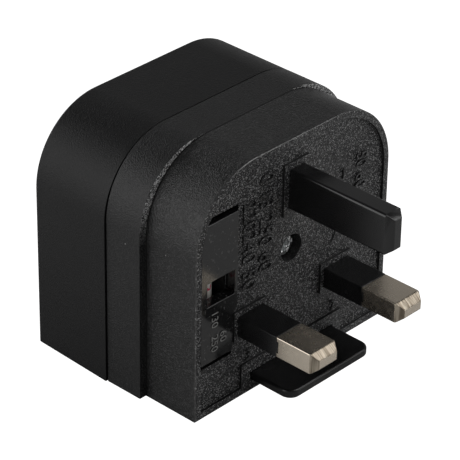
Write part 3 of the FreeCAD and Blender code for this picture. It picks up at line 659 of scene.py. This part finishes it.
# Copper rivets stand out red between the yellow strips
copper, tree = new_finish("Copper rivet, headed cold")
place = add_node(tree, "ShaderNodeTexCoord").outputs["Object"]
tint = add_node(tree, "ShaderNodeTexNoise", {"Vector": place, "Scale": 1000 / copper_tint, "Detail": 3.0})
tone = add_node(tree, "ShaderNodeMix", {
    0: tint.outputs["Fac"], 6: linear("#a8623f"), 7: linear("#d08a62")}, data_type="RGBA")
shader = add_node(tree, "ShaderNodeBsdfPrincipled", {
    "Base Color": tone.outputs[2], "Metallic": 1.0, "Roughness": 0.35})
add_node(tree, "ShaderNodeOutputMaterial", {"Surface": shader.outputs[0]})
dress("busbar_rivets", copper)


# Contact cover: a flat moulding in unpolished black nylon that carries the guest contacts and
# closes the wiring space behind the front moulding.
cover_edge = 0.08
nylon_skin = 0.5
nylon_relief = 0.01

# Nylon looks greyer and duller than the case, with a fine uneven skin
nylon, tree = new_finish("Nylon, black, dull moulded")
place = add_node(tree, "ShaderNodeTexCoord").outputs["Object"]
skin = add_node(tree, "ShaderNodeTexNoise", {"Vector": place, "Scale": 1000 / nylon_skin, "Detail": 4.0})
tone = add_node(tree, "ShaderNodeMix", {
    0: skin.outputs["Fac"], 6: linear("#131415"), 7: linear("#1f2021")}, data_type="RGBA")
bump = add_node(tree, "ShaderNodeBump", {
    "Height": skin.outputs["Fac"], "Strength": 1.0, "Distance": nylon_relief / 1000})
shader = add_node(tree, "ShaderNodeBsdfPrincipled", {
    "Base Color": tone.outputs[2], "Roughness": 0.6, "IOR": 1.53, "Normal": bump.outputs[0]})
add_node(tree, "ShaderNodeOutputMaterial", {"Surface": shader.outputs[0]})

cover = joined_copy("contact_cover", "contact_cover_moulding")
cover.data.materials.append(nylon)
break_edges(cover, cover_edge, hidden=True)
hand_over(cover, "case", "inner_black", "contact_cover")


# Shutter: white nylon plate behind the guest recess that the guest's earth blade pushes down, and
# the drawn steel spring that lifts it again. The white lets a user see that the holes are shut.
shutter_edge = 0.1
white_flow = 5
white_skin = 0.3
white_relief = 0.005
wire_grain = 0.3

# White nylon lets a little light in, so its edges look soft and milky
white, tree = new_finish("Nylon, white, fine moulded")
place = add_node(tree, "ShaderNodeTexCoord").outputs["Object"]
flow = add_node(tree, "ShaderNodeTexNoise", {"Vector": place, "Scale": 1000 / white_flow, "Detail": 2.0})
skin = add_node(tree, "ShaderNodeTexNoise", {"Vector": place, "Scale": 1000 / white_skin, "Detail": 2.0})
tone = add_node(tree, "ShaderNodeMix", {
    0: flow.outputs["Fac"], 6: linear("#dcdad2"), 7: linear("#efede6")}, data_type="RGBA")
bump = add_node(tree, "ShaderNodeBump", {
    "Height": skin.outputs["Fac"], "Strength": 1.0, "Distance": white_relief / 1000})
shader = add_node(tree, "ShaderNodeBsdfPrincipled", {
    "Base Color": tone.outputs[2], "Roughness": 0.42, "IOR": 1.53, "Subsurface Weight": 0.1,
    "Subsurface Scale": 0.001, "Normal": bump.outputs[0]})
add_node(tree, "ShaderNodeOutputMaterial", {"Surface": shader.outputs[0]})

shutter = joined_copy("shutter", "shutter_moulding")
shutter.data.materials.append(white)
break_edges(shutter, shutter_edge, hidden=True)
hand_over(shutter, "shutter", "shutter_white", "shutter")

# Drawn wire is a clear grey, with a bright line along each coil
wire, tree = new_finish("Spring steel, drawn")
place = add_node(tree, "ShaderNodeTexCoord").outputs["Object"]
pull = add_node(tree, "ShaderNodeTexNoise", {"Vector": place, "Scale": 1000 / wire_grain, "Detail": 2.0})
tone = add_node(tree, "ShaderNodeMix", {
    0: pull.outputs["Fac"], 6: linear("#8b8d90"), 7: linear("#b6b8ba")}, data_type="RGBA")
shader = add_node(tree, "ShaderNodeBsdfPrincipled", {
    "Base Color": tone.outputs[2], "Metallic": 1.0, "Roughness": 0.28})
add_node(tree, "ShaderNodeOutputMaterial", {"Surface": shader.outputs[0]})

spring = joined_copy("shutter_spring", "shutter_spring_coil")
spring.data.materials.append(wire)
for face in spring.data.polygons:
    face.use_smooth = True
hand_over(spring, "case", "spring_steel", "shutter_spring")
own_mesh(spring)


# Housing screw: a steel machine screw, cold headed with a cross recess and zinc plated, that pulls
# the rear moulding to the front. Its head sits in a well under the earth pin.
screw_edge = 0.06
spangle_size = 0.5
spangle_relief = 0.3

# Zinc glints in small facets, drawn deeper than they are so that they show down in the well
zinc, tree = new_finish("Steel, zinc plated")
place = add_node(tree, "ShaderNodeTexCoord").outputs["Object"]
spangle = add_node(tree, "ShaderNodeTexVoronoi", {"Vector": place, "Scale": 1000 / spangle_size})
tone = add_node(tree, "ShaderNodeMix", {
    0: spangle.outputs["Distance"], 6: linear("#b4b8ba"), 7: linear("#fcfdfd")}, data_type="RGBA")
gloss = add_node(tree, "ShaderNodeMapRange", {
    "Value": spangle.outputs["Distance"], "To Min": 0.2, "To Max": 0.4})
bump = add_node(tree, "ShaderNodeBump", {
    "Height": spangle.outputs["Distance"], "Strength": 1.0, "Distance": spangle_relief / 1000})
shader = add_node(tree, "ShaderNodeBsdfPrincipled", {
    "Base Color": tone.outputs[2], "Metallic": 1.0, "Roughness": gloss.outputs[0],
    "Normal": bump.outputs[0]})
add_node(tree, "ShaderNodeOutputMaterial", {"Surface": shader.outputs[0]})

screw = joined_copy("housing_screw", "housing_screw_turned")
screw.data.materials.append(zinc)
break_edges(screw, screw_edge)
hand_over(screw, "case", "screw_steel", "housing_screw")


# Lock slide: a thick tab in satin black polycarbonate at the foot of the plug face. It is pushed in
# to lock the guest plug, and its broad front edge is rounded for a thumb.
slide_edge = 0.18
satin_flow = 5
satin_skin = 0.3
satin_relief = 0.006

# A satin mould gives a deep black flat with a soft bright line round its edge
satin, tree = new_finish("Polycarbonate, black, satin mould")
place = add_node(tree, "ShaderNodeTexCoord").outputs["Object"]
flow = add_node(tree, "ShaderNodeTexNoise", {"Vector": place, "Scale": 1000 / satin_flow, "Detail": 2.0})
skin = add_node(tree, "ShaderNodeTexNoise", {"Vector": place, "Scale": 1000 / satin_skin, "Detail": 2.0})
tone = add_node(tree, "ShaderNodeMix", {
    0: flow.outputs["Fac"], 6: linear("#0b0b0c"), 7: linear("#111112")}, data_type="RGBA")
gloss = add_node(tree, "ShaderNodeMapRange", {"Value": flow.outputs["Fac"], "To Min": 0.22, "To Max": 0.30})
bump = add_node(tree, "ShaderNodeBump", {
    "Height": skin.outputs["Fac"], "Strength": 1.0, "Distance": satin_relief / 1000})
shader = add_node(tree, "ShaderNodeBsdfPrincipled", {
    "Base Color": tone.outputs[2], "Roughness": gloss.outputs[0], "IOR": 1.58, "Specular IOR Level": 0.35,
    "Normal": bump.outputs[0]})
add_node(tree, "ShaderNodeOutputMaterial", {"Surface": shader.outputs[0]})

slide = joined_copy("lock_slide", "lock_slide_tab", True)
slide.data.materials.append(satin)
break_edges(slide, slide_edge, steps=3)
hand_over(slide, "lock_slide", "carrier_black", "lock_slide")


# Studio: a white paper table that fills the view without a shadow, grey walls and a darker ceiling.
# A tall card at the left, behind the plug face, draws the soft band on the round shoulder. The key
# light and a low light stand in front at the right, and another low one behind.
floor_size = 4.0
pulp_size = 2
wall_light = 0.27
ceiling_light = 0.06
wall_top = 0.42
ceiling_start = 0.75

# Paper under full light has no shade of its own
paper, tree = new_finish("Paper, white, lit evenly")
place = add_node(tree, "ShaderNodeTexCoord").outputs["Object"]
pulp = add_node(tree, "ShaderNodeTexNoise", {"Vector": place, "Scale": 1000 / pulp_size, "Detail": 2.0})
tone = add_node(tree, "ShaderNodeMix", {
    0: pulp.outputs["Fac"], 6: linear("#f4f4f3"), 7: linear("#f8f8f8")}, data_type="RGBA")
shader = add_node(tree, "ShaderNodeBsdfPrincipled", {
    "Base Color": tone.outputs[2], "Roughness": 0.9, "Emission Color": linear("#ffffff"),
    "Emission Strength": 1.0})
add_node(tree, "ShaderNodeOutputMaterial", {"Surface": shader.outputs[0]})

# The plastic mirrors plain paper, bright only where a light falls on it
mirrored, tree = new_finish("Paper, white, as the plastic mirrors it")
place = add_node(tree, "ShaderNodeTexCoord").outputs["Object"]
pulp = add_node(tree, "ShaderNodeTexNoise", {"Vector": place, "Scale": 1000 / pulp_size, "Detail": 2.0})
tone = add_node(tree, "ShaderNodeMix", {
    0: pulp.outputs["Fac"], 6: linear("#dededd"), 7: linear("#e6e6e6")}, data_type="RGBA")
shader = add_node(tree, "ShaderNodeBsdfPrincipled", {"Base Color": tone.outputs[2], "Roughness": 0.9})
add_node(tree, "ShaderNodeOutputMaterial", {"Surface": shader.outputs[0]})


def sheet_of_paper(name, finish, seen_by_camera):
    """Square of paper on the table: either what the camera sees, or what reflections see."""
    form = bmesh.new()
    bmesh.ops.create_grid(form, x_segments=1, y_segments=1, size=floor_size / 2)
    mesh = bpy.data.meshes.new(name)
    form.to_mesh(mesh)
    form.free()
    mesh.materials.append(finish)
    sheet = bpy.data.objects.new(name, mesh)
    sheet.visible_camera = seen_by_camera
    sheet.visible_glossy = not seen_by_camera
    sheet.visible_diffuse = not seen_by_camera
    sheet.visible_shadow = not seen_by_camera
    bpy.context.scene.collection.objects.link(sheet)


sheet_of_paper("paper_floor", paper, True)
sheet_of_paper("paper_mirrored", mirrored, False)

middle = at(0, 14, 8)


def toward(azimuth, elevation):
    """Direction from the adapter: azimuth from the plug face to the right, both in degrees."""
    turn, lift = math.radians(azimuth), math.radians(elevation)
    return Vector((math.sin(turn) * math.cos(lift), -math.cos(turn) * math.cos(lift), math.sin(lift)))


def softbox(name, azimuth, elevation, distance, width, height, brightness):
    """Soft rectangular light that faces the adapter: sizes in metres, brightness against white paper."""
    lamp = bpy.data.lights.new(name, "AREA")
    lamp.shape = "RECTANGLE"
    lamp.size, lamp.size_y = width, height
    lamp.energy = brightness * math.pi * width * height
    light = bpy.data.objects.new(name, lamp)
    light.location = middle + toward(azimuth, elevation) * distance
    light.rotation_euler = toward(azimuth, elevation).to_track_quat("Z", "Y").to_euler()
    bpy.context.scene.collection.objects.link(light)


softbox("left card", -114, 18, 0.35, 0.33, 0.34, 1.45)
softbox("key softbox", 40, 50, 0.7, 0.4, 0.4, 2.8)
softbox("right softbox", 45, 9, 0.6, 0.3, 0.14, 2.0)
softbox("back softbox", 178, 16, 0.5, 0.45, 0.18, 1.8)

# The room's light changes with height, from 0 at the table's level to 1 overhead
air = bpy.data.worlds.new("Studio room")
air.use_nodes = True
tree = air.node_tree
tree.nodes.clear()
way = add_node(tree, "ShaderNodeTexCoord").outputs["Generated"]
height = add_node(tree, "ShaderNodeSeparateXYZ", {0: way})
shade = add_node(tree, "ShaderNodeMapRange", {
    "Value": height.outputs["Z"], "From Min": wall_top, "From Max": ceiling_start, "To Min": wall_light,
    "To Max": ceiling_light}, interpolation_type="SMOOTHSTEP")
sky = add_node(tree, "ShaderNodeBackground", {"Color": linear("#ffffff"), "Strength": shade.outputs[0]})
add_node(tree, "ShaderNodeOutputWorld", {"Surface": sky.outputs[0]})
bpy.context.scene.world = air
bpy.context.scene.view_settings.view_transform = "Standard"


# Camera: where the photograph was taken from, with a long lens, a slight roll and its crop's offset.
# Angles are in degrees, places in metres from the flat pins' line, and the lens in pixels.
view_azimuth, view_elevation, view_roll = -47.228, 31.138, 0.981
view_distance, view_right, view_up = 0.477511, -0.010543, 0.012205
image_width, focal_pixels = 460, 2718.861
offset_right, offset_down = 3.517, -4.426
sensor_width = 36

back = toward(view_azimuth, view_elevation)
level = Vector((0, 0, 1)).cross(back).normalized()
roll = math.radians(view_roll)
right = level * math.cos(roll) + back.cross(level) * math.sin(roll)
top = back.cross(right)
lens = bpy.data.cameras.new("Photograph")
lens.sensor_width = sensor_width
lens.lens = sensor_width * focal_pixels / image_width
lens.shift_x = -offset_right / image_width
lens.shift_y = offset_down / image_width
lens.clip_start = 0.05
camera = bpy.data.objects.new("Photograph", lens)
viewpoint = at(0, 0, 0) + right * view_right + top * view_up + back * view_distance
camera.matrix_world = Matrix.Translation(viewpoint) @ Matrix((right, top, back)).transposed().to_4x4()
bpy.context.scene.collection.objects.link(camera)
bpy.context.scene.camera = camera
